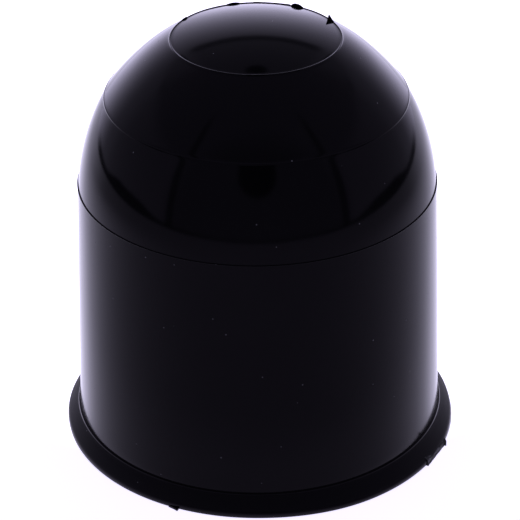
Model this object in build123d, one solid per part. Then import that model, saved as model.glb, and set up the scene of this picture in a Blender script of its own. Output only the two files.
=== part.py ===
from build123d import *
import os
from math import atan2, degrees, radians, tan

# Push-on cover for a tow ball, moulded in one piece: a drafted skirt with a flared lip round its
# mouth, closed by a dome whose two bands and crown meet in fine witness lines.
# Millimetres and degrees. +Z is up and is the cover's axis, and the origin is the centre of the
# flat rim that the cover stands on. Azimuths are counted from +X towards +Y.

# The ball and the wall round it
ball_diameter = 50.0
seat_clearance = 0.1
wall = 2.0

# Skirt and its seat, a straight band that grips the ball at its widest
seam_height = 41.5
skirt_draft = 1.8
seat_length = 12.0

# Lip round the mouth
lip_height = 3.2
lip_reach = 2.1
lip_ledge = 0.5
lip_root = 0.36
lip_edge_height = 0.6
lip_bulge = 0.22
rim_relief = 0.3
mouth_chamfer = 0.8

# Dome: two bands, each with a bulge over its chord and a radius for its flatter lower half, then the crown
dome_setback = 0.1
shoulder_inset = 4.43
shoulder_rise = 14.0
crown_radius = 12.63
crown_rise = 8.95
lower_band_bulge = 0.835
lower_band_radius = 34.0
upper_band_bulge = 0.72
upper_band_radius = 41.0
crown_cap_radius = 40.0

# Witness lines that the mould left: a thin fin at the seam and two fine pointed ridges above it
seam_fin_reach = 0.06
seam_fin_thickness = 0.1
shoulder_ridge = 0.1
crown_ridge = 0.17

# Flash left on the crown's line: azimuth, width and height of each leaf, and whether it is pointed
crown_flash = [
    (146.5, 1.8, 0.25, False),
    (105.3, 2.4, 0.30, False),
    (60.5, 2.2, 0.60, False),
    (28.0, 1.9, 1.05, True),
]
crown_flash_thickness = 0.28
crown_flash_root = 0.4
crown_flash_lean = 20.0

# Stub of the moulding gate on the lip's edge, cut off straight, with a burr at one end
gate_azimuth = -26.5
gate_width = 6.4
gate_reach = 0.3
gate_thickness = 0.9
gate_burr_width = 0.7
gate_burr_reach = 0.4

# Film of flash on the rim's plane: how far it shows past the lip at the gate, and how far it is off centre
film_reach = 0.24
film_shift = 0.94
film_thickness = 0.25

# Burr lifted from the lip's edge
burr_azimuth = -115.3
burr_width = 1.7
burr_reach = 0.45
burr_thickness = 0.4

# Outside, from the lip's ledge up
seat_radius = ball_diameter / 2 + seat_clearance
skirt_top_radius = seat_radius + wall
draft_slope = tan(radians(skirt_draft))
skirt_foot_radius = skirt_top_radius + (seam_height - lip_height) * draft_slope
lip_radius = skirt_foot_radius + lip_reach
lip_edge = (lip_radius, lip_edge_height)
ledge_edge = (skirt_foot_radius + lip_ledge, lip_height)
root_top = (skirt_foot_radius - lip_root * draft_slope, lip_height + lip_root)
dome_foot = (skirt_top_radius - dome_setback, seam_height)
shoulder = (dome_foot[0] - shoulder_inset, seam_height + shoulder_rise)
crown = (crown_radius, shoulder[1] + crown_rise)
cap_centre = crown[1] - (crown_cap_radius**2 - crown_radius**2) ** 0.5
peak = (0, cap_centre + crown_cap_radius)

# Inside, straight tapers a wall's thickness in from the dome's corners, and the straight seat
mouth_radius = skirt_foot_radius - wall
seat_foot = (seat_radius, seam_height - seat_length)
seat_top = (seat_radius, seam_height)
inner_peak = (0, peak[1] - wall)


def off_line(along):
    """The unit direction out of the outline, for a stretch of it that runs up the section."""
    return Vector(along.Y, -along.X).normalized()


def outward(before, corner, after):
    """The direction out of the outline at a corner, midway between its two chords."""
    arriving = (Vector(*corner) - Vector(*before)).normalized()
    leaving = (Vector(*after) - Vector(*corner)).normalized()
    return off_line(arriving + leaving)


def bulged(start, end, bulge):
    """The point that stands out from the middle of a chord by its bulge."""
    return (Vector(*start) + Vector(*end)) / 2 + off_line(Vector(*end) - Vector(*start)) * bulge


shoulder_out = outward(dome_foot, shoulder, crown)
crown_out = outward(shoulder, crown, peak)
inner_shoulder = Vector(*shoulder) - shoulder_out * wall
inner_crown = Vector(*crown) - crown_out * wall


def band(start, end, bulge, lower_radius):
    """One band of the dome: its flatter lower half, and the upper half that runs on from it."""
    lower_half = RadiusArc(start, bulged(start, end, bulge), -lower_radius)
    TangentArc(lower_half @ 1, end, tangent=lower_half % 1)


def half_section():
    """Half of the cover's section, in the plane of its axis, with its witness lines."""
    with BuildSketch(Plane.XZ) as section:
        with BuildLine():
            Polyline(
                seat_top,
                seat_foot,
                (mouth_radius, mouth_chamfer),
                (mouth_radius + mouth_chamfer, 0),
                (lip_radius - rim_relief, 0),
                lip_edge,
                bulged(lip_edge, ledge_edge, lip_bulge),
                ledge_edge,
                root_top,
                (skirt_top_radius, seam_height),
                dome_foot,
            )
            band(dome_foot, shoulder, lower_band_bulge, lower_band_radius)
            band(shoulder, crown, upper_band_bulge, upper_band_radius)
            RadiusArc(crown, peak, -crown_cap_radius)
            Polyline(peak, inner_peak, inner_crown, inner_shoulder, seat_top)
        make_face()
        with Locations((skirt_top_radius + seam_fin_reach, seam_height)):
            Rectangle(wall / 2 + seam_fin_reach, seam_fin_thickness, align=(Align.MAX, Align.CENTER))
        for corner, out, height in (
            (shoulder, shoulder_out, shoulder_ridge),
            (crown, crown_out, crown_ridge),
        ):
            with Locations(Vector(*corner) - out * height / 2):
                RegularPolygon(1.5 * height, 4, rotation=degrees(atan2(out.Y, out.X)))
    return section.sketch


def crown_leaf(azimuth, width, height, pointed):
    """A thin leaf of flash that stands on the crown's line and leans in towards the axis."""
    half = width / 2
    with BuildSketch(Plane.YZ) as outline:
        with BuildLine():
            if pointed:
                Polyline((half, 0), (0, height), (-half, 0))
            else:
                ThreePointArc((half, 0), (0, height), (-half, 0))
            Polyline((-half, 0), (-half, -crown_flash_root), (half, -crown_flash_root), (half, 0))
        make_face()
    leaf = extrude(outline.sketch, crown_flash_thickness / 2, both=True)
    leaf = Pos(crown[0], 0, crown[1]) * Rot(0, -crown_flash_lean, 0) * leaf
    return Rot(0, 0, azimuth) * leaf


def lip_tab(azimuth, outline_points, thickness):
    """A flat tab on the rim's plane, drawn as reach past the lip's edge and distance along it."""
    with BuildSketch() as outline:
        with BuildLine():
            Polyline(*[(lip_radius + reach, along) for reach, along in outline_points], close=True)
        make_face()
    return Rot(0, 0, azimuth) * extrude(outline.sketch, thickness)


def gate_stub():
    """The gate's stub, with its burr at the end nearer to +X."""
    half = gate_width / 2
    root = -2 * gate_reach - (lip_radius - (lip_radius**2 - half**2) ** 0.5)
    outline_points = [
        (root, -half),
        (gate_reach, -half),
        (gate_reach, half - gate_burr_width),
        (gate_reach + gate_burr_reach, half - gate_burr_width / 2),
        (gate_reach, half),
        (root, half),
    ]
    return lip_tab(gate_azimuth, outline_points, gate_thickness)


def gate_film():
    """The film beside the gate: a thin ring, off centre, that runs out under the lip on both sides."""
    with BuildSketch() as outline:
        with Locations((film_shift, 0)):
            Circle(lip_radius + film_reach - film_shift)
        Circle(lip_radius - 3 * rim_relief, mode=Mode.SUBTRACT)
    return Rot(0, 0, gate_azimuth) * extrude(outline.sketch, film_thickness)


def edge_burr():
    """A sliver lifted from the lip's edge, wider in reach towards one end."""
    half = burr_width / 2
    outline_points = [(-burr_width, -half), (0, -half), (burr_reach, half), (-burr_width, half)]
    return lip_tab(burr_azimuth, outline_points, burr_thickness)


cover = revolve(half_section(), Axis.Z)
for leaf in crown_flash:
    cover += crown_leaf(*leaf)
cover += gate_stub()
cover += gate_film()
cover += edge_burr()

os.makedirs("parts", exist_ok=True)
export_step(cover, "parts/cover.step")
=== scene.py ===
from math import asin, atan2, pi, radians, tan

import bmesh
import bpy
from mathutils import Matrix, Vector, noise


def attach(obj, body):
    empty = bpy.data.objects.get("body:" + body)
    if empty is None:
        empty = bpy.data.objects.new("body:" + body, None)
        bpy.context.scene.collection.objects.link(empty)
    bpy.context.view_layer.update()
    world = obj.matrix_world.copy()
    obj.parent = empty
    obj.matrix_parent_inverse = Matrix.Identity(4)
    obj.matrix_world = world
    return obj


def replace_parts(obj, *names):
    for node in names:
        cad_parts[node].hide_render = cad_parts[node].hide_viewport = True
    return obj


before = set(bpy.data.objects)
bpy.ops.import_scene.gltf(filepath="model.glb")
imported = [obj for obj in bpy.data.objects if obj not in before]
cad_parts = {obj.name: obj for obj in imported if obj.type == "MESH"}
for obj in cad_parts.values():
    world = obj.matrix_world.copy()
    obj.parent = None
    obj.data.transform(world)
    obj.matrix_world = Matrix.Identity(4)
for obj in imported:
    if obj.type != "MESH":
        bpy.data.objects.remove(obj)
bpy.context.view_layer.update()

# A gloss black push-on cover for a tow ball, standing on its rim.
# Sizes are in millimetres as drawn, and MM turns them into metres. Angles are in degrees, and
# azimuths are counted from +X towards +Y.
MM = 0.001
ROUND_STEPS = 288
BAND_STEPS = 16
CAP_STEPS = 26
SAME_PLACE = 1e-5

# Hollow and skirt, and the fin on the seam between skirt and dome
seat_radius = 25.1
seat_length = 12.0
wall = 2.0
mouth_chamfer = 0.8
seam_height = 41.5
skirt_draft = 1.8
fin_reach = 0.06
fin_half = 0.05

# Lip: a narrow ledge at its root, a short steep step, and a face that bulges out to its edge.
# The solid's lip has a straight flare at its root instead of the ledge and the step.
lip_height = 3.2
lip_reach = 2.1
root_radius = 0.05
ledge_width = 0.25
step_width = 0.05
step_drop = 0.22
face_radius = 12.0
edge_reach = 0.16
edge_height = 0.6
rim_relief = 0.2

# The lip's edge stands out beside the gate, in full near this azimuth and less to both sides
swell_azimuth = -42.0
swell_reach = 0.38
swell_full = 15
swell_end = 50

# Dome: two bands, each with a bulge over its chord and a radius for its lower half, and the crown
dome_setback = 0.1
shoulder_inset = 4.43
shoulder_rise = 14.0
lower_bulge = 0.835
lower_radius = 34.0
upper_bulge = 0.72
upper_radius = 41.0
crown_radius = 12.63
crown_rise = 8.95
crown_ridge = 0.17
cap_radius = 40.0

# The small riser at the shoulder: how far off it starts and ends, its lean and its height
riser_start = 0.26
riser_end = 0.06
riser_lean = 0.03
riser_height = 0.22

# Flash on the crown's line: azimuth, width and height of each leaf, and whether it is pointed
leaves = [
    (146.5, 1.8, 0.25, False),
    (105.3, 2.4, 0.30, False),
    (79.0, 5.6, 0.10, False),
    (60.5, 2.2, 0.60, False),
    (28.0, 1.9, 1.05, True),
]
leaf_root = 0.4
leaf_thickness = 0.28
leaf_lean = 20
leaf_rounding = 0.04

# What stands on the rim's plane starts a little above the floor
tab_foot = 0.02

# Stub of the moulding gate: where it ends along the lip, its torn face, and its burr at one end
gate_azimuth = -26.5
gate_lower = -3.7
gate_upper = 3.2
gate_reach = 0.4
gate_root = 0.6
gate_thickness = 0.9
gate_top_slope = 0.8
gate_skew = 0.016
tear_depth = 0.07
tear_level = 0.4
tear_along = 2.6
tear_up = 9
burr_start = 0.7
burr_foot = 0.5
burr_peak = 0.6
burr_reach = 0.3
burr_fall = 0.2

# Film of flash beside the gate: a strip of a thin ring that is off centre
film_shift = 0.94
film_reach = 0.24
film_width = 0.9
film_rounding = 0.12
film_span = 148

# Sliver lifted from the lip's edge: its corners as reach past the lip and distance along it
sliver_azimuth = -115.3
sliver_outline = [(-1.7, -0.85), (0, -0.85), (0.2, 0.1), (0.45, 0.85), (-1.7, 0.85)]
sliver_thickness = 0.38
sliver_rounding = 0.05

# Corners of the section
skirt_top = Vector((seat_radius + wall, 0, seam_height))
skirt_spread = (seam_height - lip_height) * tan(radians(skirt_draft))
skirt_foot = Vector((skirt_top.x + skirt_spread, 0, lip_height))
lip_radius = skirt_foot.x + lip_reach
mouth_radius = skirt_foot.x - wall
dome_foot = Vector((skirt_top.x - dome_setback, 0, seam_height))
shoulder = Vector((dome_foot.x - shoulder_inset, 0, seam_height + shoulder_rise))
crown = Vector((crown_radius, 0, shoulder.z + crown_rise))
cap_centre = Vector((0, 0, crown.z - (cap_radius**2 - crown.x**2) ** 0.5))
peak = cap_centre + Vector((0, 0, cap_radius))


def off_line(along):
    """The unit direction out of the outline, for a stretch of it that runs up the section."""
    return Vector((along.z, 0, -along.x)).normalized()


def corner_out(before, corner, after):
    """The direction out of the outline at a corner, midway between its two chords."""
    return off_line((corner - before).normalized() + (after - corner).normalized())


class Outline:
    """A line of edges in the section's plane, drawn from point to point."""

    def __init__(self, start):
        self.bm = bmesh.new()
        self.tip = self.bm.verts.new(start)

    def line(self, *ends):
        for end in ends:
            corner = self.bm.verts.new(end)
            self.bm.edges.new((self.tip, corner))
            self.tip = corner

    def arc(self, centre, end, steps):
        """Turn about a centre, upwards or inwards, as far as the direction of the end."""
        start, stop = self.tip.co - centre, Vector(end) - centre
        angle = atan2(stop.z, stop.x) - atan2(start.z, start.x)
        swept = bmesh.ops.spin(self.bm, geom=[self.tip], cent=centre, axis=(0, -1, 0), angle=angle,
                               steps=steps)
        self.tip = [item for item in swept["geom_last"] if isinstance(item, bmesh.types.BMVert)][0]


def arc_centre(start, end, radius):
    """The centre of an arc that bulges out between two points of the section."""
    half = (end - start).length / 2
    return (start + end) / 2 - off_line(end - start) * (radius**2 - half**2) ** 0.5


def band_centres(start, end, bulge, radius):
    """The middle of a band of the dome, and the centres of its halves, which run on smoothly."""
    middle = (start + end) / 2 + off_line(end - start) * bulge
    lower = arc_centre(start, middle, radius)
    out = (middle - lower).normalized()
    rest = end - middle
    upper = middle + out * rest.length_squared / (2 * rest.dot(out))
    return middle, lower, upper


def along_arc(centre, point, step):
    """A point moved along an arc about a centre, upwards."""
    spoke = point - centre
    return centre + Matrix.Rotation(-step / spoke.length, 3, "Y") @ spoke


def eased(value, low, high):
    """From 0 at low to 1 at high, without a break at the ends."""
    share = min(max((value - low) / (high - low), 0.0), 1.0)
    return share * share * (3 - 2 * share)


def round_ring(bm, point, width, segments):
    """Round the ring of edges that runs through one point of the section."""
    def on(vert):
        return abs(vert.co.xy.length - point[0]) < 1e-3 and abs(vert.co.z - point[2]) < 1e-3
    ring = [edge for edge in bm.edges if on(edge.verts[0]) and on(edge.verts[1])]
    bmesh.ops.bevel(bm, geom=ring, offset=width, offset_type="OFFSET", segments=segments,
                    profile=0.5, affect="EDGES", material=-1)


def round_all(bm, width):
    """Round every edge of a small piece."""
    bmesh.ops.bevel(bm, geom=bm.edges[:], offset=width, offset_type="OFFSET", segments=2,
                    profile=0.5, affect="EDGES", material=-1, clamp_overlap=True)


def turned(bm, azimuth):
    """Turn a piece about the cover's axis."""
    turn = Matrix.Rotation(radians(azimuth), 3, "Z")
    bmesh.ops.rotate(bm, cent=(0, 0, 0), matrix=turn, verts=bm.verts)


def pushed_out(bm, way):
    """Push all the faces out into a solid, and give the corners that moved."""
    pushed = bmesh.ops.extrude_face_region(bm, geom=bm.faces[:])
    moved = [item for item in pushed["geom"] if isinstance(item, bmesh.types.BMVert)]
    bmesh.ops.translate(bm, vec=way, verts=moved)
    bmesh.ops.recalc_face_normals(bm, faces=bm.faces)
    return moved


def lip_tab(outline, thickness):
    """A flat tab, drawn as reach past the lip and distance along it, and its upper corners."""
    bm = bmesh.new()
    bm.faces.new([bm.verts.new((lip_radius + out, along, tab_foot)) for out, along in outline])
    return bm, pushed_out(bm, (0, 0, thickness))


def finished(bm, name, material, smooth=radians(40)):
    """The mesh as an object of the cover, in metres, its normals out."""
    bmesh.ops.remove_doubles(bm, verts=bm.verts, dist=SAME_PLACE)
    bmesh.ops.recalc_face_normals(bm, faces=bm.faces)
    bmesh.ops.scale(bm, vec=(MM, MM, MM), verts=bm.verts)
    mesh = bpy.data.meshes.new(name)
    bm.to_mesh(mesh)
    bm.free()
    mesh.shade_smooth()
    mesh.set_sharp_from_angle(angle=smooth)
    mesh.materials.append(material)
    piece = bpy.data.objects.new(name, mesh)
    bpy.context.scene.collection.objects.link(piece)
    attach(piece, "root")
    return piece


def swell_lip(bm, top):
    """Let the lip's lower edge stand out beside the gate, where the film of flash runs along it."""
    for vert in bm.verts:
        out = vert.co.xy.length
        if out > top.x and vert.co.z < top.z:
            turn = atan2(vert.co.y, vert.co.x) - radians(swell_azimuth)
            aside = abs((turn + pi) % (2 * pi) - pi)
            share = eased(aside, radians(swell_end), radians(swell_full))
            reach = swell_reach * share * eased(vert.co.z, top.z, edge_height)
            vert.co.xy *= 1 + reach / out


def shell(material):
    """The moulded shell: skirt, lip, banded dome and crown, and the hollow inside."""
    lower_middle, lower_a, lower_b = band_centres(dome_foot, shoulder, lower_bulge, lower_radius)
    upper_middle, upper_a, upper_b = band_centres(shoulder, crown, upper_bulge, upper_radius)
    shoulder_out = corner_out(dome_foot, shoulder, crown)
    crown_out = corner_out(shoulder, crown, peak)
    skirt_rise = (skirt_top - skirt_foot) / (seam_height - lip_height)

    mouth_edge = Vector((mouth_radius, 0, mouth_chamfer))
    rim_start = Vector((mouth_radius + mouth_chamfer, 0, 0))
    rim_edge = Vector((lip_radius - rim_relief, 0, 0))
    lip_edge = Vector((lip_radius + edge_reach, 0, edge_height))
    ledge_edge = skirt_foot + Vector((ledge_width, 0, 0))
    step_foot = ledge_edge + Vector((step_width, 0, -step_drop))
    skirt_root = skirt_foot + skirt_rise * root_radius
    root_centre = skirt_root + off_line(skirt_rise) * root_radius
    ledge_root = root_centre - Vector((0, 0, root_radius))
    fin_root = skirt_top - skirt_rise * fin_half
    fin_below = Vector((skirt_top.x + fin_reach, 0, seam_height - fin_half))
    fin_above = Vector((skirt_top.x + fin_reach, 0, seam_height + fin_half))
    dome_start = along_arc(lower_a, dome_foot, fin_half)
    shoulder_below = along_arc(lower_b, shoulder, -riser_start)
    shoulder_tip = shoulder_below + Vector((-riser_lean, 0, riser_height))
    shoulder_above = along_arc(upper_a, shoulder, riser_end)
    crown_below = along_arc(upper_b, crown, -crown_ridge)
    crown_tip = crown + crown_out * crown_ridge
    crown_above = along_arc(cap_centre, crown, crown_ridge)
    inner_crown = crown - crown_out * wall
    inner_shoulder = shoulder - shoulder_out * wall
    seat_top = Vector((seat_radius, 0, seam_height))
    seat_foot = Vector((seat_radius, 0, seam_height - seat_length))

    outline = Outline(rim_start)
    outline.line(rim_edge, lip_edge)
    outline.arc(arc_centre(lip_edge, step_foot, face_radius), step_foot, 5)
    outline.line(ledge_edge, ledge_root)
    outline.arc(root_centre, skirt_root, 3)
    outline.line(fin_root, fin_below, fin_above, dome_start)
    outline.arc(lower_a, lower_middle, BAND_STEPS)
    outline.arc(lower_b, shoulder_below, BAND_STEPS)
    outline.line(shoulder_tip, shoulder_above)
    outline.arc(upper_a, upper_middle, BAND_STEPS)
    outline.arc(upper_b, crown_below, BAND_STEPS)
    outline.line(crown_tip, crown_above)
    outline.arc(cap_centre, peak, CAP_STEPS)
    bm = outline.bm
    outline.tip = bm.verts.new(peak - Vector((0, 0, wall)))
    outline.line(inner_crown, inner_shoulder, seat_top, seat_foot, mouth_edge, rim_start)
    bmesh.ops.remove_doubles(bm, verts=bm.verts, dist=SAME_PLACE)
    long = [edge for edge in bm.edges if edge.calc_length() > 5]
    bmesh.ops.subdivide_edges(bm, edges=long, cuts=11)
    bmesh.ops.spin(bm, geom=bm.verts[:] + bm.edges[:], cent=(0, 0, 0), axis=(0, 0, 1),
                   angle=2 * pi, steps=ROUND_STEPS, use_merge=True)
    bmesh.ops.remove_doubles(bm, verts=bm.verts, dist=SAME_PLACE)
    bmesh.ops.recalc_face_normals(bm, faces=bm.faces)
    for point, width, segments in (
        (rim_edge, 0.12, 3),
        (lip_edge, 0.6, 9),
        (step_foot, 0.05, 3),
        (ledge_edge, 0.05, 3),
        (fin_below, 0.04, 3),
        (fin_above, 0.04, 3),
        (shoulder_tip, 0.04, 3),
        (shoulder_below, 0.03, 2),
        (shoulder_above, 0.03, 2),
        (crown_tip, 0.06, 3),
        (crown_below, 0.05, 2),
        (crown_above, 0.05, 2),
        (inner_crown, 1.5, 5),
        (inner_shoulder, 1.5, 5),
        (seat_top, 0.8, 4),
        (seat_foot, 0.8, 3),
        (mouth_edge, 0.25, 3),
    ):
        round_ring(bm, point, width, segments)
    swell_lip(bm, step_foot)
    piece = finished(bm, "cover_shell", material)
    even = piece.modifiers.new("even_shading", "WEIGHTED_NORMAL")
    even.keep_sharp = True
    return piece


def crown_leaf(width, height, pointed):
    """One leaf of flash, upright across the section: a low lens, or drawn out to a point."""
    half = width / 2
    bm = bmesh.new()
    end = Vector((0, half, 0))
    start = bm.verts.new(end)
    if pointed:
        tip = Vector((0, 0, height))
        rise = tip - end
        hollow = end + rise / 2 + Vector((0, height, half)).normalized() * 2 * rise.length
        angle = (end - hollow).angle(tip - hollow)
        bmesh.ops.spin(bm, geom=[start], cent=hollow, axis=(-1, 0, 0), angle=angle, steps=6)
        bmesh.ops.mirror(bm, geom=bm.verts[:] + bm.edges[:], axis="Y", merge_dist=1e-4)
    else:
        radius = (half**2 + height**2) / (2 * height)
        bmesh.ops.spin(bm, geom=[start], cent=(0, 0, height - radius), axis=(1, 0, 0),
                       angle=2 * asin(half / radius), steps=14)
    rim = sorted(bm.verts, key=lambda vert: vert.co.y)
    foot = [bm.verts.new((0, side * half, -leaf_root)) for side in (1, -1)]
    bm.faces.new(rim + foot)
    bmesh.ops.translate(bm, vec=(-leaf_thickness / 2, 0, 0), verts=bm.verts)
    pushed_out(bm, (leaf_thickness, 0, 0))
    round_all(bm, leaf_rounding)
    return bm


def crown_flash(material):
    """The leaves of flash that stand on the crown's line and lean in towards the axis."""
    whole = bmesh.new()
    lean = Matrix.Rotation(radians(-leaf_lean), 3, "Y")
    for azimuth, width, height, pointed in leaves:
        leaf = crown_leaf(width, height, pointed)
        bmesh.ops.rotate(leaf, cent=(0, 0, 0), matrix=lean, verts=leaf.verts)
        bmesh.ops.translate(leaf, vec=crown, verts=leaf.verts)
        turned(leaf, azimuth)
        joined = bpy.data.meshes.new("leaf")
        leaf.to_mesh(joined)
        leaf.free()
        whole.from_mesh(joined)
        bpy.data.meshes.remove(joined)
    return finished(whole, "crown_flash", material)


def gate_stub(material):
    """The stub of the moulding gate, cut off straight and left rough, with a burr at one end."""
    root = -gate_root - (lip_radius - (lip_radius**2 - gate_upper**2) ** 0.5)
    outline = [
        (root, gate_lower),
        (gate_reach, gate_lower),
        (gate_reach, gate_upper - burr_start),
        (gate_reach + burr_reach, gate_upper - burr_peak),
        (gate_reach - burr_fall, gate_upper),
        (root, gate_upper),
    ]
    bm, top = lip_tab(outline, gate_thickness)
    inner = [vert for vert in top if vert.co.x < lip_radius]
    bmesh.ops.translate(bm, vec=(0, 0, gate_top_slope), verts=inner)
    cut = lip_radius + gate_reach

    def torn_off(vert):
        return abs(vert.co.x - cut) < 1e-4

    across = [edge for edge in bm.edges
              if all(torn_off(vert) and vert.co.y < gate_upper - burr_foot for vert in edge.verts)]
    bmesh.ops.subdivide_edges(bm, edges=across, cuts=23, use_grid_fill=True)
    up = [edge for edge in bm.edges
          if abs(edge.verts[0].co.z - edge.verts[1].co.z) > 0.5
          and all(vert.co.x > lip_radius for vert in edge.verts)]
    bmesh.ops.subdivide_edges(bm, edges=up, cuts=4, use_grid_fill=True)
    for vert in bm.verts:
        if torn_off(vert):
            tear = noise.noise(Vector((0, tear_along * vert.co.y, tear_up * vert.co.z)))
            vert.co.x += gate_skew * vert.co.y + tear_depth * (tear - tear_level)
    turned(bm, gate_azimuth)
    return finished(bm, "gate_stub", material, radians(14))


def rim_film(material):
    """A film of flash on the rim's plane beside the gate, that runs out under the lip."""
    outer = lip_radius + film_reach - film_shift
    inner = outer - film_width
    top = tab_foot + 2 * film_rounding
    edge = Vector((outer - film_rounding, 0, tab_foot + film_rounding))
    strip = Outline((inner, 0, tab_foot))
    strip.line((edge.x, 0, tab_foot))
    strip.arc(edge, (edge.x, 0, top), 8)
    strip.line((inner, 0, top), (inner, 0, tab_foot))
    bm = strip.bm
    bmesh.ops.remove_doubles(bm, verts=bm.verts, dist=SAME_PLACE)
    turned(bm, -film_span / 2)
    bmesh.ops.spin(bm, geom=bm.verts[:] + bm.edges[:], cent=(0, 0, 0), axis=(0, 0, 1),
                   angle=radians(film_span), steps=film_span // 2)
    ends = [side for side in bm.edges if side.is_boundary]
    bmesh.ops.holes_fill(bm, edges=ends, sides=0)
    bmesh.ops.translate(bm, vec=(film_shift, 0, 0), verts=bm.verts)
    turned(bm, gate_azimuth)
    return finished(bm, "rim_film", material, radians(50))


def rim_burr(material):
    """A sliver lifted from the lip's edge, wider in reach towards one end."""
    bm, _ = lip_tab(sliver_outline, sliver_thickness)
    round_all(bm, sliver_rounding)
    turned(bm, sliver_azimuth)
    return finished(bm, "rim_burr", material)


class Value:
    """A socket of a material's nodes that takes part in arithmetic."""

    def __init__(self, socket):
        self.socket = socket

    def node(self, kind, settings, inputs, output=0):
        return add_node(self.socket.id_data, kind, settings, inputs, output)

    def maths(self, how, *terms):
        return self.node("ShaderNodeMath", {"operation": how}, dict(enumerate(terms)))

    def __add__(self, other):
        return self.maths("ADD", self, other)

    def __radd__(self, other):
        return self.maths("ADD", other, self)

    def __sub__(self, other):
        return self.maths("SUBTRACT", self, other)

    def __rsub__(self, other):
        return self.maths("SUBTRACT", other, self)

    def __mul__(self, other):
        return self.maths("MULTIPLY", self, other)

    def __rmul__(self, other):
        return self.maths("MULTIPLY", other, self)

    def __truediv__(self, other):
        return self.maths("DIVIDE", self, other)

    def __rtruediv__(self, other):
        return self.maths("DIVIDE", other, self)

    def __abs__(self):
        return self.maths("ABSOLUTE", self)

    def __pow__(self, other):
        return self.maths("POWER", self, other)

    def root(self):
        return self.maths("SQRT", self)

    def most(self, other):
        return self.maths("MAXIMUM", self, other)

    def least(self, other):
        return self.maths("MINIMUM", self, other)

    def ramp(self, low, high, start=0.0, end=1.0):
        """Eased from start to end as this goes from low to high."""
        return self.node("ShaderNodeMapRange", {"interpolation_type": "SMOOTHSTEP"},
                         {0: self, 1: low, 2: high, 3: start, 4: end})

    def along(self, way):
        """How far this vector points along a direction."""
        return self.node("ShaderNodeVectorMath", {"operation": "DOT_PRODUCT"}, {0: self, 1: way},
                         "Value")

    def parts(self):
        """The three numbers of this vector."""
        return [self.node("ShaderNodeSeparateXYZ", None, {0: self}, name) for name in "XYZ"]

    def mottle(self, scale, detail):
        """Cloudy noise over the places that this vector gives."""
        return self.node("ShaderNodeTexNoise", None,
                         {"Vector": self, "Scale": scale, "Detail": detail})

    def between(self, low, high):
        """A colour from low to high as this goes from 0 to 1."""
        return self.node("ShaderNodeMix", {"data_type": "RGBA"},
                         {"Factor": self, "A": low, "B": high}, "Result")


def add_node(tree, kind, settings=None, inputs=None, output=0):
    """One node with its settings, then its values and links, and the output asked for."""
    made = tree.nodes.new(kind)
    for name, setting in (settings or {}).items():
        setattr(made, name, setting)
    for name, given in (inputs or {}).items():
        if isinstance(given, Value):
            tree.links.new(given.socket, made.inputs[name])
        else:
            made.inputs[name].default_value = given
    return Value(made.outputs[output]) if made.outputs else None


def new_material(name):
    """An empty material, its nodes, and the places on the surface that it covers."""
    material = bpy.data.materials.new(name)
    material.use_nodes = True
    tree = material.node_tree
    tree.nodes.clear()
    return material, tree, add_node(tree, "ShaderNodeTexCoord", output="Object")


def gloss_plastic():
    """Moulded gloss black plastic: faint waviness, handling haze, a satin lip and a little dust."""
    black, dust = (0.003, 0.003, 0.004, 1), (0.2, 0.2, 0.22, 1)
    material, tree, place = new_material("gloss_black_plastic")
    x, y, z = place.parts()
    haze = place.mottle(90.0, 4.0)
    waves = place.mottle(160.0, 2.0)
    grain = place.mottle(2600.0, 2.0)
    skirt = z.ramp((seam_height + 1) * MM, (seam_height - 1) * MM)
    lip = z.ramp(2.95 * MM, 2.88 * MM) * z.ramp(0.8 * MM, 1.4 * MM)
    inside = (x * x + y * y).root().ramp(26.9 * MM, 26.5 * MM) * skirt
    cells = place.node("ShaderNodeTexVoronoi", None, {"Vector": place, "Scale": 330.0}, "Distance")
    speck = cells.ramp(0.042, 0.028)
    roughness = 0.07 + skirt * 0.05 + haze * 0.05 + lip * 0.45 + inside * 0.25 + speck * 0.4
    height = waves + grain * (0.06 + lip * 0.5)
    bump = add_node(tree, "ShaderNodeBump", None,
                    {"Strength": 0.04, "Distance": 0.2 * MM, "Height": height})
    colour = (haze * 0.012 + speck).between(black, dust)
    shader = add_node(tree, "ShaderNodeBsdfPrincipled", None,
                      {"Base Color": colour, "Roughness": roughness, "IOR": 1.22,
                       "Specular Tint": (0.97, 0.87, 1.0, 1), "Normal": bump})
    add_node(tree, "ShaderNodeOutputMaterial", None, {"Surface": shader})
    return material


def torn_plastic():
    """The same plastic where it was cut or torn: rough, and whitened in short streaks."""
    black, whitened = (0.012, 0.012, 0.014, 1), (0.24, 0.24, 0.26, 1)
    material, tree, place = new_material("torn_black_plastic")
    outwards = place.along((0.895, -0.446, 0)) * 5.0
    sideways = place.along((0.446, 0.895, 0))
    upwards = place.along((0, 0, 3.0))
    drawn_out = place.node("ShaderNodeCombineXYZ", None, {0: outwards, 1: sideways, 2: upwards})
    streaks = drawn_out.mottle(600.0, 3.0).ramp(0.52, 0.66)
    grain = place.mottle(5200.0, 2.0)
    bump = add_node(tree, "ShaderNodeBump", None,
                    {"Strength": 0.25, "Distance": 0.1 * MM, "Height": grain})
    shader = add_node(tree, "ShaderNodeBsdfPrincipled", None,
                      {"Base Color": streaks.between(black, whitened),
                       "Roughness": 0.42 + grain * 0.2, "IOR": 1.3, "Normal": bump})
    add_node(tree, "ShaderNodeOutputMaterial", None, {"Surface": shader})
    return material


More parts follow.
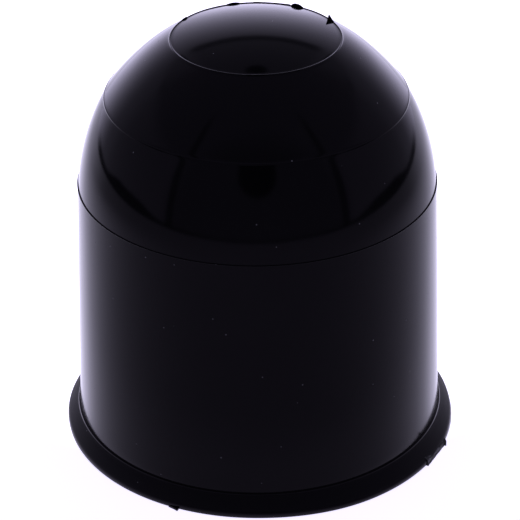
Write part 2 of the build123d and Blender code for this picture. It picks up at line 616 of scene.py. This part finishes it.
def painted_light_floor():
    """A pale floor, white round the cover, with painted shade that makes it greyer in front and
    painted light at the sides and behind, where the gloss mirrors it.
    """
    black, pale, cool = (0.0, 0.0, 0.0, 1), (0.88, 0.88, 0.88, 1), (1.05, 1.0, 1.32, 1)
    white_level = 1.07
    skirt_radius = 28 * MM
    material, tree, place = new_material("painted_light_floor")
    x, y, _ = place.parts()
    reach = (x * x + y * y).root()
    back = y / reach
    # Painted light and shade for the gloss to mirror: how far round from the front the skirt
    # mirrors each place, and how bright the floor is painted for that
    round_to = x.maths("ARCTAN2", abs(x), -1.0 * y) / (2.0 - skirt_radius / reach)
    beside = (0.184 + 0.544 * round_to ** 3.58).least(1.75) * x.ramp(-0.02, 0.02, 1.0, 0.88)
    # Painted light on the floor close round the lip, where its shadow falls
    beside = beside + reach.ramp(0.034, 0.06, 0.15, 0.0)
    # Farther out, painted shade in front and painted light behind, with more painted light straight
    # behind
    far = back.ramp(0.2, 0.9, 0.3, 1.2)
    level = beside + (far - beside) * reach.ramp(0.12, 0.21) + back.ramp(0.7, 0.97, 0.0, 0.3)
    # What is missing to white near the cover, for the eye, and as painted light under the lip for
    # the lip's underside to mirror
    whitening = (white_level - level).most(0.0) * reach.ramp(0.1, 0.22, 1.0, 0.0)
    under_lip = reach.ramp(0.0306, 0.034, 1.0, 0.0)
    viewed, mirrored, passed = [
        add_node(tree, "ShaderNodeLightPath", output=name)
        for name in ("Is Camera Ray", "Is Glossy Ray", "Is Transmission Ray")
    ]
    seen = viewed.most(passed)
    # Painted light: the floor glows at the painted level, in a cool tint, for the eye and for the
    # gloss
    strength = seen.most(mirrored) * level + seen.most(mirrored * under_lip) * whitening
    diffuse = add_node(tree, "ShaderNodeBsdfDiffuse", None,
                       {"Color": (level + whitening).between(black, pale)})
    glow = add_node(tree, "ShaderNodeEmission", None, {"Color": cool, "Strength": strength * 0.8})
    both = add_node(tree, "ShaderNodeAddShader", None, {0: diffuse, 1: glow})
    add_node(tree, "ShaderNodeOutputMaterial", None, {"Surface": both})
    return material


def studio_world():
    """A dim tent, open in front, with a broad white light low down behind and some dark gaps."""
    cool = (1.06, 1.0, 1.38, 1)
    roof_edge = 0.585
    flap_turn = 0.56
    lens_way, vent_way = (0.0, -0.887, 0.462), (0.0, 0.51, 0.86)
    world = bpy.data.worlds.new("studio")
    bpy.context.scene.world = world
    world.use_nodes = True
    tree = world.node_tree
    tree.nodes.clear()
    way = add_node(tree, "ShaderNodeTexCoord", output="Generated")
    x, y, z = way.parts()
    # The light behind, and the tent's walls, with a roof that is dimmer over the light
    glow = (1.6 - z.most(0.0) * 2.6).most(0.0) * y.ramp(0.5, 0.97)
    behind = y.ramp(0.3, 0.5)
    beyond = abs(x).ramp(0.24, 0.3) * behind
    tent = y.ramp(-0.66, -0.42, 0.15, 0.27) * (z.ramp(0.5, 0.62, 1.0, 0.66) + beyond * 0.25)
    edge = abs(z - roof_edge).ramp(0.012, 0.04, 0.8, 0.0) * (1.0 - beyond) * behind
    # The gap under the tent's hem, wider at the sides and fainter in front
    hem = z - y.ramp(-0.5, -0.15) * y.ramp(0.1, 0.4, 0.055, 0.0)
    gap = z.ramp(-0.185, -0.165) * hem.ramp(-0.13, -0.1, 1.0, 0.0)
    gap = gap * y.ramp(0.55, 0.75, 0.92, 0.0) * y.ramp(-0.95, -0.4, 0.6, 1.0)
    # The flaps beside the opening, the lens that looks in and a vent in the roof
    aside = abs(y / (1.0 - z * z).root() + flap_turn)
    flap = aside.ramp(0.015, 0.055, 0.75, 0.0) * z.ramp(0.76, 0.92, 1.0, 0.0)
    lens = way.along(lens_way).ramp(0.972, 0.984, 1.0, 0.0)
    vent = way.along(vent_way).ramp(0.9978, 0.9988, 1.0, 0.0)
    level = (glow + tent) * (1.0 - edge) * (1.0 - gap) * (1.0 - flap) * lens * vent
    light = add_node(tree, "ShaderNodeBackground", None, {"Color": cool, "Strength": level})
    add_node(tree, "ShaderNodeOutputWorld", None, {"Surface": light})


def floor():
    """A round floor, a hair under the rim."""
    bm = bmesh.new()
    bmesh.ops.create_circle(bm, cap_ends=True, segments=180, radius=330 * MM)
    bmesh.ops.translate(bm, vec=(0, 0, -0.03 * MM), verts=bm.verts)
    mesh = bpy.data.meshes.new("floor")
    bm.to_mesh(mesh)
    bm.free()
    mesh.materials.append(painted_light_floor())
    piece = bpy.data.objects.new("floor", mesh)
    bpy.context.scene.collection.objects.link(piece)


def camera():
    """The photograph's viewpoint: a long lens, looking down on the cover from in front."""
    lens = bpy.data.cameras.new("camera")
    lens.sensor_width = 36.0
    lens.lens = 169.2
    holder = bpy.data.objects.new("camera", lens)
    stand = Vector((0, -0.326393, 0.214405))
    ahead = Vector((0.000835, 0.867204, -0.497952))
    right = Vector((0.999956, -0.005380, -0.007692))
    up = Vector((0.009350, 0.497923, 0.867171))
    turn = Matrix((right, up, -ahead)).transposed().to_4x4()
    holder.matrix_world = Matrix.Translation(stand) @ turn
    bpy.context.scene.collection.objects.link(holder)
    bpy.context.scene.camera = holder


bpy.context.scene.view_settings.view_transform = "Standard"
plastic = gloss_plastic()
torn = torn_plastic()
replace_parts(shell(plastic), "cover")
crown_flash(plastic)
gate_stub(torn)
rim_film(plastic)
rim_burr(plastic)
floor()
studio_world()
camera()
